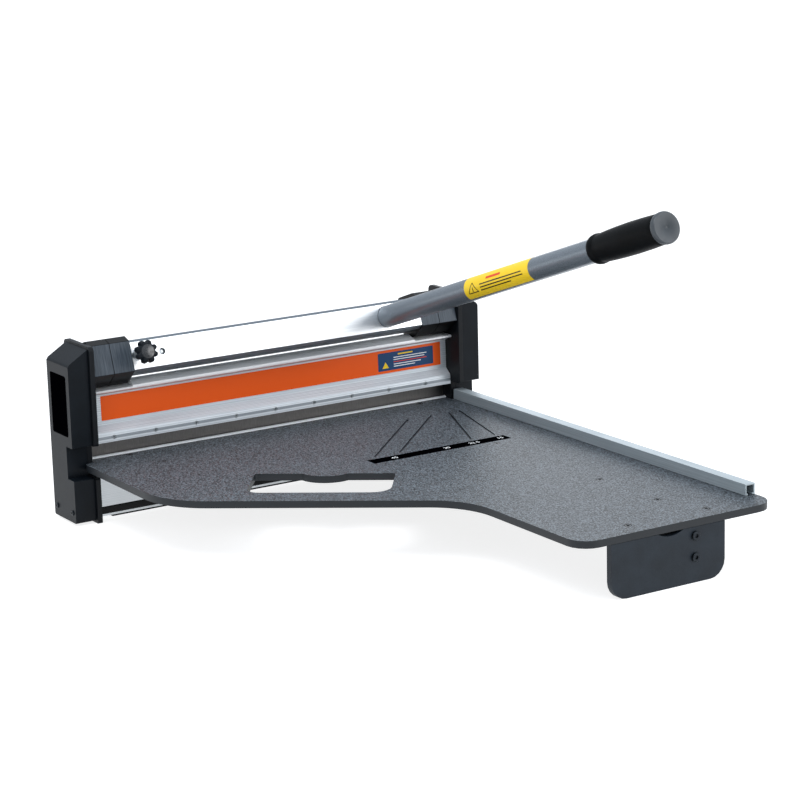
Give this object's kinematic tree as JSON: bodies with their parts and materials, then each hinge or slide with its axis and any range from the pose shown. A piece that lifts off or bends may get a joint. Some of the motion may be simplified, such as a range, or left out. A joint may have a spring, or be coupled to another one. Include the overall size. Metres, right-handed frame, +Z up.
{
  "type": "flooring board cutter",
  "caption": "Bench guillotine that cuts flooring boards: a long lever turns cams that press a bladed carrier onto an anvil beside a slotted table with a side fence.",
  "frame": {"origin": "on the floor, in the cut plane, under the middle of the blade", "axes": "+X along the blade towards the fence side, +Y to the rear, +Z up"},
  "size_m": [0.5216, 0.604, 0.3581],
  "materials": {
    "bare_aluminium": "extruded, fine lines along the length",
    "black_plastic": "fine textured black moulding",
    "blade_steel": "ground steel",
    "board_edge": "sawn edge of the same board, dark blue grey",
    "bronze": "sintered bronze",
    "coated_black": "satin black powder coat",
    "dark_steel": "black oxide steel",
    "fence_aluminium": "anodised extrusion",
    "rubber": "moulded black rubber",
    "scale_film": "black printed film",
    "spring_steel": "drawn spring wire",
    "table_board": "rough speckled grey phenolic board",
    "tube_paint": "grey metallic paint",
    "zinc_steel": "zinc plated steel"
  },
  "bodies": {
    "frame": {"base_beam": "bare_aluminium", "base_inlay": "black_plastic", "foot_strip": "rubber", "anvil_strip": "bare_aluminium", "left_side_plate": "coated_black", "left_cover": "black_plastic", "left_pivot_bush": "bronze", "left_cover_screw_1": "dark_steel", "left_cover_screw_2": "dark_steel", "right_side_plate": "coated_black", "right_cover": "black_plastic", "right_pivot_bush": "bronze", "right_cover_screw_1": "dark_steel", "right_cover_screw_2": "dark_steel", "table_board": "table_board", "scale_strip": "scale_film", "table_screw_1": "dark_steel", "table_screw_2": "dark_steel", "table_screw_3": "dark_steel", "table_screw_4": "dark_steel", "table_screw_5": "dark_steel", "table_screw_6": "dark_steel", "table_screw_7": "dark_steel", "stiffener_bar": "coated_black", "leg_bracket": "coated_black", "support_leg": "board_edge", "upper_leg_screw": "dark_steel", "lower_leg_screw": "dark_steel", "rear_fence_bolt": "zinc_steel", "front_fence_bolt": "zinc_steel", "left_return_spring": "spring_steel", "right_return_spring": "spring_steel"},
    "carrier": {"blade_carrier": "bare_aluminium", "blade": "blade_steel", "blade_screw_1": "dark_steel", "blade_screw_2": "dark_steel", "blade_screw_3": "dark_steel", "blade_screw_4": "dark_steel", "blade_screw_5": "dark_steel", "blade_screw_6": "dark_steel", "blade_screw_7": "dark_steel", "blade_screw_8": "dark_steel", "blade_screw_9": "dark_steel", "left_lift_lug": "zinc_steel", "right_lift_lug": "zinc_steel"},
    "lever": {"lever_beam": "bare_aluminium", "left_inner_cam": "black_plastic", "left_outer_cam": "black_plastic", "left_pivot_pin": "zinc_steel", "right_inner_cam": "black_plastic", "right_outer_cam": "black_plastic", "right_pivot_pin": "zinc_steel", "handle_tube": "tube_paint", "handle_grip": "rubber", "grip_end_cap": "tube_paint", "lock_collar": "zinc_steel"},
    "knob": {"star_knob": "black_plastic", "lock_screw": "zinc_steel"},
    "fence": {"fence_rail": "fence_aluminium"}
  },
  "joints": [
    {"name": "lever_swing", "type": "hinge", "parent": "frame", "child": "lever", "pos_m": [0, 0.01, 0.1745], "axis": [-1, 0, 0], "range_deg": [0, 60]},
    {"name": "blade_lift", "type": "slide", "parent": "frame", "child": "carrier", "axis": [0, 0, 1], "range_m": [0, 0.015], "stiffness_N_per_m": 300, "springref_m": 0.05, "deforming": ["left_return_spring", "right_return_spring"]},
    {"name": "knob_turn", "type": "hinge", "parent": "lever", "child": "knob", "pos_m": [-0.176, -0.04666, 0.1815], "axis": [0, -0.949, 0.3152], "range_deg": [0, 720]},
    {"name": "fence_slide", "type": "slide", "parent": "frame", "child": "fence", "axis": [0, -1, 0], "range_m": [0, 0.03]}
  ],
  "couplings": [
    {"joint": "blade_lift", "follows": "lever_swing", "m_per_rad": 0.01432}
  ]
}
